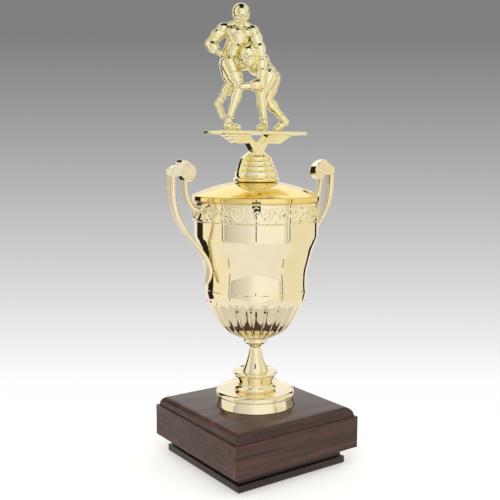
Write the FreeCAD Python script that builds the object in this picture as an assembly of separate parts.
"""Cup trophy: a lidded two-handled presentation cup on a turned pedestal and a square walnut base, topped by a
pair of wrestlers on a winged column.

Frame: +Z up, the front of the base faces -Y, the handles lie along X, and the origin is the centre of the
underside. Millimetres. Every piece is a separate solid in its own file in parts/.
"""
import FreeCAD, Part
import math
import os

V = FreeCAD.Vector
Z_AXIS = V(0, 0, 1)
ORIGIN = V(0, 0, 0)

# ---- driving dimensions -------------------------------------------------------------------------------------
BASE_HALF = 76.2           # half of the 6 inch square block
PLINTH_HALF = 66.9
NECK_HALF = 63.8           # the recessed neck between the plinth and the block
FELT_HALF = 63.0
FELT_TOP = 1.0
PLINTH_TOP = 8.2
BLOCK_BOTTOM = 18.4
LEDGE_Z = 51.2             # where the moulding steps in from the block's face
LEDGE_HALF = 73.5
BLOCK_TOP = 60.5
ROUND_OVER = 6.0

FOOT_BASE_R = 42.2         # the skirt flares down to this
FOOT_CREASE_R = 40.9
FOOT_CREASE_Z = 71.3
FOOT_TOP = 75.4
FOOT_TOP_R = 37.4
COLLAR_TOP = 83.2
COLLAR_R = 22.2
DRUM_TOP = 94.8
DRUM_FLANGE_R = 23.5
STEM_NECK_Z = 118.6
STEM_NECK_R = 6.2
DISH_TOP = 124.4
RING_TOP = 129.0
RING_R = 12.8

FLUTE_TOP = 170.6          # the flutes end here, under a smooth shoulder
SEAT_Z = 176.5             # the bell of the cup stands in a rebate from here to the seam
SEAT_R = 51.4
CALYX_TOP = 183.0
CALYX_LIP_R = 52.4
FLUTES = 22
FLUTE_DEPTH = 0.9
FLUTE_GAP = 1.2
CALYX_WALL = 2.0
CALYX_CURVE = [(12.5, 129.0), (18.8, 132.0), (27.5, 136.9), (34.9, 143.6), (40.8, 152.3), (45.6, 161.5),
               (49.3, 168.5), (51.5, 174.5), (52.4, 180.0)]
CUP_WALL = 1.0
CUP_CURVE = [(51.8, 183.2), (51.6, 189.5), (52.3, 199.5), (54.8, 210.5), (57.8, 222.0), (60.7, 230.0), (63.0, 239.5)]
CUP_R = 63.0
CUP_RIM_Z = 276.9
CUP_ROLL_R = 64.0
BAND_BOTTOM = 252.5
BAND_TOP = 272.5
BAND_R = 64.1
BAND_BEAD_R = 64.8

LID_R = 65.3
LID_BOTTOM = 272.8
LID_EDGE = 277.9           # where the skirt turns into the dome
LID_CROWN = 293.0
LID_WALL = 0.9
LID_LAND_R = 12.0          # flat land in the middle, where the topper is clamped

RISER_BOTTOM = 291.7
RISER_TIERS = [(23.6, 295.6), (21.7, 302.0), (19.6, 307.5), (17.2, 313.0), (14.4, 317.5)]   # radius, top
PLATE_Z = 338.8
PLATE_TOP = 342.1
PLATE_LONG = 104.7
PLATE_SHORT = 33.5

HANDLE_TOP = 314.0
ROD_R = 3.175              # a 1/4 inch threaded rod
ROD_HOLE_R = 3.6
NUT_FLATS = 11.1
NUT_H = 5.5
WASHER_R = 9.0
WASHER_H = 1.6
SCREW_R = 1.5
SCREW_PLACES = [(45, 45), (-45, 45), (-45, -45), (45, -45)]
FIT = 0.05                 # clearance of a screw or rod in its hole, on the radius


# ---- building blocks ----------------------------------------------------------------------------------------
def wire(steps):
    """A wire in the XZ plane. Each step is a point, ("arc", through, end) or ("spline", [points])."""
    def at(p):
        return V(p[0], 0, p[1])

    here = steps[0]
    edges = []
    for step in steps[1:] + [steps[0]]:
        if step[0] == "arc":
            edges.append(Part.Arc(at(here), at(step[1]), at(step[2])).toShape())
            here = step[2]
        elif step[0] == "spline":
            curve = Part.BSplineCurve()
            curve.interpolate([at(here)] + [at(p) for p in step[1]])
            edges.append(curve.toShape())
            here = step[1][-1]
        elif math.dist(here, step) > 1e-6:
            edges.append(Part.LineSegment(at(here), at(step)).toShape())
            here = step
    return Part.Wire(edges)


def turned(steps):
    """A solid of revolution about Z from a closed outline of radius and height."""
    return Part.Face(wire(steps)).revolve(ORIGIN, Z_AXIS, 360)


def rod(radius, z0, z1, x=0.0, y=0.0):
    return Part.makeCylinder(radius, z1 - z0, V(x, y, z0))


def slab(half_x, half_y, z0, z1):
    return Part.makeBox(2 * half_x, 2 * half_y, z1 - z0, V(-half_x, -half_y, z0))


def inward(points, distance):
    """The outline curve moved towards the axis side by distance, along its own normals."""
    moved = []
    for i, (r, z) in enumerate(points):
        r0, z0 = points[max(i - 1, 0)]
        r1, z1 = points[min(i + 1, len(points) - 1)]
        length = math.dist((r0, z0), (r1, z1))
        moved.append((r - distance * (z1 - z0) / length, z + distance * (r1 - r0) / length))
    return moved


def hex_nut(z0, z1, x=0.0):
    corners = [V(x + NUT_FLATS / math.sqrt(3) * math.cos(math.radians(60 * k)),
                 NUT_FLATS / math.sqrt(3) * math.sin(math.radians(60 * k)), z0) for k in range(7)]
    body = Part.Face(Part.makePolygon(corners)).extrude(V(0, 0, z1 - z0))
    crown_r = NUT_FLATS / 2 * 1.03
    rounded = turned([(0, z0), (crown_r, z0), (NUT_FLATS * 0.6, z0 + 0.8), (NUT_FLATS * 0.6, z1 - 0.8),
                      (crown_r, z1), (0, z1)])
    return body.common(rounded).cut(rod(ROD_R + FIT, z0 - 1, z1 + 1, x))


def washer(z0, z1):
    return rod(WASHER_R, z0, z1).cut(rod(ROD_HOLE_R, z0 - 1, z1 + 1))


def threaded_rod(z0, z1):
    chamfer = 0.8
    return turned([(0, z0), (ROD_R - chamfer, z0), (ROD_R, z0 + chamfer), (ROD_R, z1 - chamfer),
                   (ROD_R - chamfer, z1), (0, z1)])


# ---- walnut base --------------------------------------------------------------------------------------------
def moulded_slab(outline):
    """A square slab whose four sides carry the same outline of half width and height."""
    solid = None
    for quarter in (0, 90):
        side = outline + [(-half, z) for half, z in reversed(outline)]
        corners = [V(x, -BASE_HALF * 1.5, z) for x, z in side]
        bar = Part.Face(Part.makePolygon(corners + corners[:1])).extrude(V(0, BASE_HALF * 3, 0))
        bar.rotate(ORIGIN, Z_AXIS, quarter)
        solid = bar if solid is None else solid.common(bar)
    return solid


def wood_block():
    arc = [(LEDGE_HALF - ROUND_OVER * (1 - math.cos(math.radians(a))),
            BLOCK_TOP - ROUND_OVER * (1 - math.sin(math.radians(a)))) for a in range(0, 91, 15)]
    body = moulded_slab([(BASE_HALF, BLOCK_BOTTOM), (BASE_HALF, LEDGE_Z), (LEDGE_HALF, LEDGE_Z)] + arc)
    body = body.cut(rod(ROD_HOLE_R, 0, BLOCK_TOP + 1))
    for x, y in SCREW_PLACES:
        body = body.cut(rod(SCREW_R + 0.3 + FIT, 0, BLOCK_BOTTOM + 14.5, x, y))
    return body


PLINTH_SCREW_TIP = BLOCK_BOTTOM + 14.0
NUT_POCKET_TOP = 12.0
NUT_POCKET_R = 11.0
SCREW_HEAD_R = 4.2
SCREW_HEAD_H = 3.0


def wood_plinth():
    chamfer = 0.8
    foot = moulded_slab([(PLINTH_HALF, FELT_TOP), (PLINTH_HALF, PLINTH_TOP - chamfer),
                         (PLINTH_HALF - chamfer, PLINTH_TOP), (NECK_HALF, PLINTH_TOP), (NECK_HALF, BLOCK_BOTTOM)])
    foot = foot.cut(rod(ROD_HOLE_R, 0, BLOCK_BOTTOM + 1)).cut(rod(NUT_POCKET_R, 0, NUT_POCKET_TOP))
    for x, y in SCREW_PLACES:
        sink = Part.makeCone(SCREW_HEAD_R + FIT, SCREW_R + 0.3 + FIT, SCREW_HEAD_H, V(x, y, FELT_TOP))
        foot = foot.cut(rod(SCREW_R + 0.3 + FIT, 0, BLOCK_BOTTOM + 1, x, y)).cut(sink)
    return foot


def plinth_screws():
    screws = []
    for x, y in SCREW_PLACES:
        head = Part.makeCone(SCREW_HEAD_R, SCREW_R + 0.3, SCREW_HEAD_H, V(x, y, FELT_TOP + FIT))
        shank = rod(SCREW_R + 0.3, FELT_TOP + 1, PLINTH_SCREW_TIP - 3, x, y)
        tip = Part.makeCone(SCREW_R + 0.3, 0.3, 3, V(x, y, PLINTH_SCREW_TIP - 3))
        screw = head.fuse([shank, tip]).removeSplitter()
        slot = Part.makeBox(1.0, 6.4, 1.2, V(x - 0.5, y - 3.2, FELT_TOP))
        screws.append(screw.cut(slot))
    return Part.makeCompound(screws)


# ---- turned pedestal ----------------------------------------------------------------------------------------
def foot_shell():
    wall = 2.0
    return turned([
        (FOOT_BASE_R, BLOCK_TOP), (FOOT_BASE_R, BLOCK_TOP + 0.7), (FOOT_CREASE_R, FOOT_CREASE_Z - 0.4),
        (FOOT_CREASE_R - 0.5, FOOT_CREASE_Z), (FOOT_CREASE_R, FOOT_CREASE_Z + 0.4),
        ("arc", (FOOT_CREASE_R - 1.0, FOOT_CREASE_Z + 2.9), (FOOT_TOP_R, FOOT_TOP)),
        (ROD_HOLE_R, FOOT_TOP), (ROD_HOLE_R, FOOT_TOP - wall), (FOOT_TOP_R - 1.5, FOOT_TOP - wall),
        (FOOT_CREASE_R - 0.5 - wall, FOOT_CREASE_Z - 1.0), (FOOT_BASE_R - wall, BLOCK_TOP)])


def collar_ring():
    inner = 14.0
    return turned([(inner, FOOT_TOP), (COLLAR_R - 1.4, FOOT_TOP),
                   ("arc", (COLLAR_R, FOOT_TOP + 2.6), (COLLAR_R - 2.2, FOOT_TOP + 5.6)),
                   (COLLAR_R - 3.2, FOOT_TOP + 6.2), (COLLAR_R - 3.2, COLLAR_TOP), (inner, COLLAR_TOP)])


def foot_drum():
    wall = 2.0
    waist = COLLAR_R - 3.6
    return turned([
        (waist, COLLAR_TOP),
        ("arc", (waist + 2.1, COLLAR_TOP + 4.6), (DRUM_FLANGE_R - 1.5, DRUM_TOP - 2.6)),
        ("arc", (DRUM_FLANGE_R, DRUM_TOP - 0.9), (DRUM_FLANGE_R - 0.9, DRUM_TOP)),
        (DRUM_FLANGE_R - 1.8, DRUM_TOP), (DRUM_FLANGE_R - 3.0, DRUM_TOP - 0.8), (ROD_HOLE_R, DRUM_TOP - 0.8),
        (ROD_HOLE_R, DRUM_TOP - 0.8 - wall), (waist - wall, DRUM_TOP - 0.8 - wall), (waist - wall, COLLAR_TOP)])


def stem():
    base = DRUM_TOP - 0.8
    return turned([
        (ROD_HOLE_R, base), (13.6, base), (13.6, base + 1.0),
        ("spline", [(11.3, base + 6.0), (8.7, base + 13.4), (6.9, base + 19.8), (STEM_NECK_R, STEM_NECK_Z)]),
        (ROD_HOLE_R, STEM_NECK_Z)])


def stem_dish():
    return turned([
        (ROD_HOLE_R, STEM_NECK_Z), (STEM_NECK_R + 0.2, STEM_NECK_Z),
        ("arc", (6.9, STEM_NECK_Z + 3.0), (8.8, DISH_TOP - 0.6)), (8.8, DISH_TOP), (ROD_HOLE_R, DISH_TOP)])


def bowl_ring():
    return turned([
        (ROD_HOLE_R, DISH_TOP), (RING_R - 1.6, DISH_TOP),
        ("arc", (RING_R, DISH_TOP + 2.2), (RING_R - 0.6, RING_TOP)), (ROD_HOLE_R, RING_TOP)])


# ---- fluted calyx and the cup in it -------------------------------------------------------------------------
def calyx():
    """The fluted bowl, which is the bottom of the cup, with a rebate at its top that the bell stands in."""
    inner = [p for p in inward(CALYX_CURVE, CALYX_WALL) if CUP_FLOOR + 1.5 < p[1] < SEAT_Z - 2.0]
    shell = turned([
        (ROD_HOLE_R, RING_TOP), CALYX_CURVE[0], ("spline", CALYX_CURVE[1:]),
        (CALYX_LIP_R, CALYX_TOP), (SEAT_R, CALYX_TOP), (SEAT_R, SEAT_Z), (SEAT_R - 1.5, SEAT_Z),
        ("spline", inner[::-1]), (inner[0][0] - 4.5, CUP_FLOOR), (ROD_HOLE_R, CUP_FLOOR)])
    return shell.cut(groove_cutters())


def groove_cutters():
    """A thin upright plate for each valley between two flutes, whose inner edge follows the bowl."""
    bottom = [p for p in inward(CALYX_CURVE, FLUTE_DEPTH)[1:] if p[1] < FLUTE_TOP - 6.0]
    outline = wire([bottom[0], ("spline", bottom[1:] + [(47.6, FLUTE_TOP - 3.6)]),
                    ("arc", (49.3, FLUTE_TOP - 1.2), (52.0, FLUTE_TOP)), (60, FLUTE_TOP), (60, bottom[0][1])])
    plate = Part.Face(outline).extrude(V(0, FLUTE_GAP, 0))
    plate.translate(V(0, -FLUTE_GAP / 2, 0))
    cutters = []
    for k in range(FLUTES):
        copy = plate.copy()
        copy.rotate(ORIGIN, Z_AXIS, 360.0 / FLUTES * k)
        cutters.append(copy)
    return cutters


CUP_FLOOR = RING_TOP + CALYX_WALL + CUP_WALL      # the bowl's floor is thicker, where the rod clamps it
UPPER_SCREW_Z = 265.6
LOWER_SCREW_Z = 203.4


def cup_body():
    """The bell: a thin wall from its seat in the bowl to the rolled rim."""
    w = CUP_WALL
    seat = SEAT_R - FIT
    outer = [(seat - w, SEAT_Z), (seat, SEAT_Z), (seat, CALYX_TOP), (CUP_CURVE[0][0], CALYX_TOP), CUP_CURVE[0],
             ("spline", CUP_CURVE[1:])]
    rim = [(CUP_R, CUP_RIM_Z - 2.6), ("arc", (CUP_ROLL_R, CUP_RIM_Z - 1.5), (CUP_R - 0.1, CUP_RIM_Z)),
           ("arc", (CUP_R - 1.2, CUP_RIM_Z - 0.9), (CUP_R - w, CUP_RIM_Z - 2.6))]
    inner = [(CUP_R - w, CUP_CURVE[-1][1] + 0.2), ("spline", [(r - w, z) for r, z in CUP_CURVE[-2::-1]]),
             (seat - w, CALYX_TOP - 0.4)]
    body = turned(outer + rim + inner)
    for side in (-1, 1):
        for z in (UPPER_SCREW_Z, LOWER_SCREW_Z):
            body = body.cut(Part.makeCylinder(SCREW_R + FIT, 80, ORIGIN + V(0, 0, z), V(side, 0, 0)))
    return body


def rim_band():
    bead = 1.3
    ring = turned([
        (CUP_R + FIT, BAND_BOTTOM), (BAND_BEAD_R - 0.5, BAND_BOTTOM),
        ("arc", (BAND_BEAD_R, BAND_BOTTOM + bead / 2), (BAND_R, BAND_BOTTOM + bead)),
        (BAND_R, BAND_TOP - bead), ("arc", (BAND_BEAD_R, BAND_TOP - bead / 2), (BAND_BEAD_R - 0.5, BAND_TOP)),
        (CUP_R + FIT, BAND_TOP)])
    for side in (-1, 1):
        ring = ring.cut(Part.makeCylinder(SCREW_R + FIT, 80, V(0, 0, UPPER_SCREW_Z), V(side, 0, 0)))
    return ring


# ---- handles ------------------------------------------------------------------------------------------------
OUTER_ARM = [(59.6, 192.4, 1.1), (57.0, 198.6, 2.0), (56.3, 206.0, 2.3), (58.9, 214.2, 2.1), (64.4, 222.4, 1.9),
             (75.0, 234.8, 2.0), (82.8, 244.0, 2.0), (90.0, 254.6, 2.2), (94.6, 263.8, 2.4), (97.3, 274.0, 2.7),
             (98.7, 286.0, 2.8), (98.6, 300.0, 2.9)]                       # x, z and half thickness
INNER_ARM = [(61.5, 269.6, 2.3), (65.2, 265.4, 2.3), (69.8, 264.6, 2.2), (74.8, 267.4, 2.1), (79.2, 272.2, 2.0),
             (82.4, 278.4, 1.9), (84.0, 285.6, 1.8), (84.8, 296.0, 2.2)]
SCROLL_EDGE = [(86.6, 294.6), (83.6, 292.6), (79.0, 293.4), (75.6, 297.0), (74.6, 302.0), (76.0, 307.0),
               (80.0, 310.8), (85.0, 313.2), (89.0, HANDLE_TOP)]
CAP_EDGE = [(92.4, 310.2), (97.4, 307.2), (101.4, 306.2), (101.6, 299.0), (95.8, 297.0), (94.4, 299.4),
            (91.2, 300.2), (88.4, 298.4)]
SCROLL_EYE = (81.6, 302.4)
SCROLL_GROOVES = [(6.6, 5.6), (3.9, 3.0)]      # outer and inner radius of each ring groove
ARM_WIDTH = 8.6
SCROLL_WIDTH = 10.4
GROOVE_DEPTH = 0.5


def ribbon(points, width):
    """A bar of the given width along Y whose outline follows points of x, z and half thickness."""
    left, right = [], []
    for i, (x, z, half) in enumerate(points):
        x0, z0, _ = points[max(i - 1, 0)]
        x1, z1, _ = points[min(i + 1, len(points) - 1)]
        length = math.dist((x0, z0), (x1, z1))
        nx, nz = -(z1 - z0) / length * half, (x1 - x0) / length * half
        left.append((x + nx, z + nz))
        right.append((x - nx, z - nz))
    outline = wire([left[0], ("spline", left[1:]), right[-1], ("spline", right[-2::-1])])
    bar = Part.Face(outline).extrude(V(0, width, 0))
    bar.translate(V(0, -width / 2, 0))
    return bar


def arm_grooves(points):
    """Shallow lines along both flanks of an arm that leave three ribs standing."""
    cutters = []
    for shift in (-0.38, 0.38):
        line = []
        for i, (x, z, half) in enumerate(points):
            x0, z0, _ = points[max(i - 1, 0)]
            x1, z1, _ = points[min(i + 1, len(points) - 1)]
            length = math.dist((x0, z0), (x1, z1))
            line.append((x - (z1 - z0) / length * half * shift, z + (x1 - x0) / length * half * shift, 0.22))
        for face in (-1, 1):
            bar = ribbon(line, 2 * GROOVE_DEPTH)
            bar.translate(V(0, face * ARM_WIDTH / 2, 0))
            cutters.append(bar)
    return cutters


def handle(side):
    outline = wire([SCROLL_EDGE[0], ("spline", SCROLL_EDGE[1:])] + CAP_EDGE)
    scroll = Part.Face(outline).extrude(V(0, SCROLL_WIDTH, 0))
    scroll.translate(V(0, -SCROLL_WIDTH / 2, 0))
    eye = V(SCROLL_EYE[0], 0, SCROLL_EYE[1])
    for outer, inner in SCROLL_GROOVES:
        for face in (-1, 1):
            start = eye + V(0, face * (SCROLL_WIDTH / 2 - GROOVE_DEPTH), 0)
            ring = Part.makeCylinder(outer, 2, start, V(0, face, 0)).cut(
                Part.makeCylinder(inner, 2, start, V(0, face, 0)))
            scroll = scroll.cut(ring)
    pads = [Part.makeCylinder(3.2, 4.5, V(CUP_R - 1.0, 0, UPPER_SCREW_Z), V(1, 0, 0)),
            Part.makeCylinder(3.0, 5.0, V(51.0, 0, LOWER_SCREW_Z), V(1, 0, 0))]
    body = ribbon(OUTER_ARM, ARM_WIDTH).cut(arm_grooves(OUTER_ARM[2:-1]))
    body = body.fuse([ribbon(INNER_ARM, ARM_WIDTH).cut(arm_grooves(INNER_ARM[1:-1])), scroll] + pads)
    bowl = [(CUP_CURVE[0][0] + FIT, 185), ("spline", [(r + FIT, z) for r, z in CUP_CURVE[1:]]),
            (CUP_R + FIT, BAND_BOTTOM - FIT), (BAND_BEAD_R + FIT, BAND_BOTTOM - FIT),
            (BAND_BEAD_R + FIT, BAND_TOP + FIT), (0, BAND_TOP + FIT)]
    body = body.cut(turned([(0, 185)] + bowl))
    for place in (UPPER_SCREW_Z, LOWER_SCREW_Z):
        hole = Part.makeCylinder(SCREW_R + FIT, 8.0, V(cup_radius_at(place) - 3.0, 0, place), V(1, 0, 0))
        body = body.cut(hole)
    if side < 0:
        body = body.mirror(ORIGIN, V(1, 0, 0))
    return max(body.Solids, key=lambda s: s.Volume)


def cup_radius_at(z):
    return CUP_R if z > CUP_CURVE[-1][1] else 52.9


def handle_screws():
    screws = []
    for side in (-1, 1):
        for z in (UPPER_SCREW_Z, LOWER_SCREW_Z):
            wall = cup_radius_at(z) - CUP_WALL
            head_x = wall - (0.5 if z == UPPER_SCREW_Z else 1.6)
            head = Part.makeCylinder(3.0, 2.2, V(side * (head_x - 2.2), 0, z), V(side, 0, 0))
            shank = Part.makeCylinder(SCREW_R, 6.2, V(side * (head_x - 1.0), 0, z), V(side, 0, 0))
            slot = Part.makeBox(1.0, 4.6, 0.8, V(-0.5, -2.3, -0.4))
            slot.translate(V(side * (head_x - 2.2), 0, z))
            screws.append(head.fuse(shank).removeSplitter().cut(slot))
    return Part.makeCompound(screws)


# ---- lid ----------------------------------------------------------------------------------------------------
def dome_z(radius):
    """Height of the lid's outer dome at a radius: part of a sphere from the skirt's edge to the crown."""
    rise = LID_CROWN - LID_EDGE
    sphere = (LID_R ** 2 + rise ** 2) / (2 * rise)
    return LID_CROWN - sphere + math.sqrt(sphere ** 2 - radius ** 2)


def lid():
    w = LID_WALL
    inner = CUP_ROLL_R + 0.35
    land = dome_z(LID_LAND_R)
    mid = (LID_R + LID_LAND_R) / 2
    return turned([
        (ROD_HOLE_R, land), (LID_LAND_R, land),
        ("arc", (mid, dome_z(mid)), (LID_R - 1.4, dome_z(LID_R - 1.4))),
        ("arc", (LID_R - 0.4, LID_EDGE - 0.2), (LID_R, LID_EDGE - 1.2)),
        (LID_R, LID_BOTTOM + 0.9), ("arc", (LID_R + 0.25, LID_BOTTOM + 0.45), (LID_R, LID_BOTTOM)),
        (inner, LID_BOTTOM), (inner, CUP_RIM_Z + FIT), (inner - 1.8, CUP_RIM_Z + FIT),
        (inner - 2.6, dome_z(inner - 2.6) - w),
        ("arc", (mid, dome_z(mid) - w), (LID_LAND_R, land - w)), (ROD_HOLE_R, land - w)])


LID_LAND = dome_z(LID_LAND_R)
TOPPER_GAP = 0.1           # the topper turns on the lid, so their faces stay this far apart


# ---- topper -------------------------------------------------------------------------------------------------
def riser_outline(gap):
    """The stepped outside of the riser, each tier with a rounded shoulder, moved outwards by gap."""
    steps = [(RISER_TIERS[0][0] - 1.6 + gap, RISER_BOTTOM)]
    bead_r, bead_top = RISER_TIERS[0]
    steps.append(("arc", (bead_r + gap, (RISER_BOTTOM + bead_top) / 2), (bead_r - 1.6 + gap, bead_top)))
    for radius, top in RISER_TIERS[1:]:
        shoulder = 1.5
        steps.append((radius + gap, top - shoulder))
        steps.append(("arc", (radius - 0.44 + gap, top - 0.44), (radius - shoulder + gap, top)))
    return steps


def riser():
    wall = 2.0
    top = RISER_TIERS[-1][1]
    boss = 8.0
    inner = [(radius - wall - 1.6, z - wall) for radius, z in reversed(RISER_TIERS[1:])]
    return turned(
        riser_outline(0.0) + [(ROD_R + FIT, top), (ROD_R + FIT, LID_LAND + TOPPER_GAP), (boss, LID_LAND + TOPPER_GAP),
                              (boss, top - wall)] + inner + [(inner[-1][0], dome_z(inner[-1][0]) + 3 * TOPPER_GAP)])


WING_STEPS = [(40.0, 336.0, 7.5), (36.0, 333.1, 6.6), (31.5, 330.2, 5.7)]   # half length, underside, half depth
COLUMN_HALF = 5.6
WAIST_HALF = 8.2
WAIST_Z = 322.4


def figure_column():
    top_out, top_in = 17.1, 11.5
    arm_bottom = 330.0
    x_shape = [(-top_out, PLATE_Z), (-top_out, 331.5), (-WAIST_HALF, WAIST_Z), (-18.2, 315.0), (-23.2, 301.0),
               (23.2, 301.0), (18.2, 315.0), (WAIST_HALF, WAIST_Z), (top_out, 331.5), (top_out, PLATE_Z),
               (top_in, PLATE_Z), (0, arm_bottom), (-top_in, PLATE_Z)]
    body = Part.Face(wire(x_shape)).extrude(V(0, 2 * COLUMN_HALF, 0))
    body.translate(V(0, -COLUMN_HALF, 0))
    fins = slab(30, 2.2, 290, 318.0).fuse(slab(30, 30, 316.8, 345))
    body = body.common(fins)
    under = PLATE_Z
    for half, z, depth in WING_STEPS:
        body = body.fuse(slab(half, depth, z, under).cut(slab(top_in - 0.6, 20, 300, 345)))
        under = z
    body = body.cut(turned([(0, RISER_BOTTOM)] + riser_outline(FIT) + [(0, RISER_TIERS[-1][1])]))
    body = body.cut(rod(ROD_R + FIT, 300, WAIST_Z + 2))
    return max(body.removeSplitter().Solids, key=lambda s: s.Volume)


def figure_plate():
    plate = slab(PLATE_LONG / 2, PLATE_SHORT / 2, PLATE_Z, PLATE_TOP)
    upright = [e for e in plate.Edges if abs(e.Vertexes[0].Z - e.Vertexes[1].Z) > 1]
    return plate.makeFillet(1.2, upright)


# ---- wrestlers ----------------------------------------------------------------------------------------------
# The pair is posed to be seen from the front left, so each joint is given as distance to the right, distance
# away and height over the plate for an eye at that heading, and turned into the frame here.
POSE_HEADING = math.radians(35.4)


def posed(right, away, up):
    c, s = math.cos(POSE_HEADING), math.sin(POSE_HEADING)
    return V(right * c + away * s, -right * s + away * c, PLATE_TOP + up)


STANDING = {
    "pelvis": (-28.0, 0, 69), "waist": (-24.5, -3, 79), "chest": (-17.0, -6, 92), "neck": (-16.3, -8, 102.5),
    "head": (-15.8, -9, 113.2),
    "shoulder_r": (-33.0, -5, 99.5), "elbow_r": (-46.8, -7, 84.5), "hand_r": (-35.5, -13, 75.0),
    "shoulder_l": (-4.5, -7, 97), "elbow_l": (2.5, -10, 82.0), "hand_l": (4.0, -14, 73.5),
    "hip_s": (-27.5, -5, 66), "knee_s": (-17.5, -14, 43.5), "ankle_s": (-28.0, -14, 9.5), "toe_s": (-19.5, -20, 3.4),
    "hip_f": (-29.0, 4, 66), "knee_f": (-26.0, 8, 48), "ankle_f": (-37.0, 11, 31.0), "toe_f": (-35.0, 9, 16.5)}
SHOOTING = {
    "pelvis": (12.0, 3, 56), "waist": (7.5, 0, 61.0), "chest": (0.8, -5, 66.5), "neck": (-4.0, -10, 70.0),
    "head": (-8.0, -17, 73),
    "shoulder_n": (4.5, -13, 66.5), "elbow_n": (4.8, -21, 44.5), "hand_n": (-15.0, -24, 42.5),
    "shoulder_o": (-1.5, 6, 69), "elbow_o": (-12.0, 11, 66), "hand_o": (-25.0, 8, 69),
    "hip_n": (11.5, -3, 53.5), "knee_n": (4.2, -9, 37.0), "ankle_n": (7.4, -1, 9.0), "toe_n": (3.6, -10, 3.4),
    "hip_o": (15.2, 8, 53), "knee_o": (11.0, 7, 32.0), "ankle_o": (27.2, 14, 13.0), "toe_o": (21.0, 11, 3.4)}


def limb(start, r0, end, r1):
    """A tapered bar with a round end at each joint."""
    a, b = posed(*start), posed(*end)
    cone = Part.makeCone(r0 * 0.96, r1 * 0.96, a.distanceToPoint(b), a, b - a)
    return [cone, Part.makeSphere(r0, a), Part.makeSphere(r1, b)]


def wrestler(j, arms, legs):
    """A wrestler as round limbs joined at the joints, with the soles cut flat on the plate."""
    pieces = [Part.makeSphere(9.4, posed(*j["head"]))]
    pieces += limb(j["pelvis"], 9.4, j["waist"], 9.2)
    pieces += limb(j["waist"], 9.2, j["chest"], 11.2)
    pieces += limb(j["chest"], 8.6, j["neck"], 5.2)
    pieces += limb(j["neck"], 4.9, j["head"], 4.6)
    for side in arms:
        shoulder, elbow, hand = (j[name + side] for name in ("shoulder_", "elbow_", "hand_"))
        pieces += limb(j["chest"], 8.2, shoulder, 6.0)
        pieces += limb(shoulder, 5.9, elbow, 4.7)
        pieces += limb(elbow, 4.5, hand, 3.3)
    for side in legs:
        hip, knee, ankle, toe = (j[name + side] for name in ("hip_", "knee_", "ankle_", "toe_"))
        pieces += limb(hip, 8.6, knee, 5.9)
        pieces += limb(knee, 5.6, ankle, 3.4)
        pieces += limb(ankle, 3.3, toe, 2.8)
    body = pieces[0].multiFuse(pieces[1:])
    body = body.cut(slab(80, 80, PLATE_Z - 20, PLATE_TOP))
    return max(body.Solids, key=lambda s: s.Volume)


def shooting_wrestler():
    """The one going for the leg, hollowed where the standing wrestler is pressed into the hold."""
    return max(wrestler(SHOOTING, "no", "no").cut(wrestler(STANDING, "rl", "sf")).Solids, key=lambda s: s.Volume)


# ---- all the pieces -----------------------------------------------------------------------------------------
LOWER_NUT_TOP = NUT_POCKET_TOP - WASHER_H
UPPER_NUT_BOTTOM = CUP_FLOOR + WASHER_H
LID_UNDER = LID_LAND - LID_WALL

PIECES = {
    "felt_pad": lambda: slab(FELT_HALF, FELT_HALF, 0, FELT_TOP),
    "wood_plinth": wood_plinth,
    "wood_block": wood_block,
    "plinth_screws": plinth_screws,
    "tie_rod": lambda: threaded_rod(3.0, UPPER_NUT_BOTTOM + NUT_H + 3.0),
    "tie_rod_lower_washer": lambda: washer(LOWER_NUT_TOP, NUT_POCKET_TOP),
    "tie_rod_lower_nut": lambda: hex_nut(LOWER_NUT_TOP - NUT_H, LOWER_NUT_TOP),
    "tie_rod_upper_washer": lambda: washer(CUP_FLOOR, UPPER_NUT_BOTTOM),
    "tie_rod_upper_nut": lambda: hex_nut(UPPER_NUT_BOTTOM, UPPER_NUT_BOTTOM + NUT_H),
    "pedestal_foot": foot_shell,
    "pedestal_collar": collar_ring,
    "pedestal_drum": foot_drum,
    "stem": stem,
    "stem_dish": stem_dish,
    "bowl_ring": bowl_ring,
    "calyx": calyx,
    "cup_body": cup_body,
    "rim_band": rim_band,
    "handle_left": lambda: handle(-1),
    "handle_right": lambda: handle(1),
    "handle_screws": handle_screws,
    "lid": lid,
    "topper_washer": lambda: washer(LID_UNDER - TOPPER_GAP - WASHER_H, LID_UNDER - TOPPER_GAP),
    "topper_nut": lambda: hex_nut(LID_UNDER - TOPPER_GAP - WASHER_H - NUT_H, LID_UNDER - TOPPER_GAP - WASHER_H),
    "topper_stud": lambda: threaded_rod(LID_UNDER - WASHER_H - NUT_H - 2.5, WAIST_Z + 1),
    "riser": riser,
    "figure_column": figure_column,
    "figure_plate": figure_plate,
    "wrestler_standing": lambda: wrestler(STANDING, "rl", "sf"),
    "wrestler_shooting": shooting_wrestler,
}


def main():
    os.makedirs("parts", exist_ok=True)
    for name, make in PIECES.items():
        shape = make()
        solids = shape.Solids
        print(f"{name:22s} solids {len(solids)} valid {shape.isValid()} volume {shape.Volume:10.1f}")
        shape.exportStep(f"parts/{name}.step")


main()
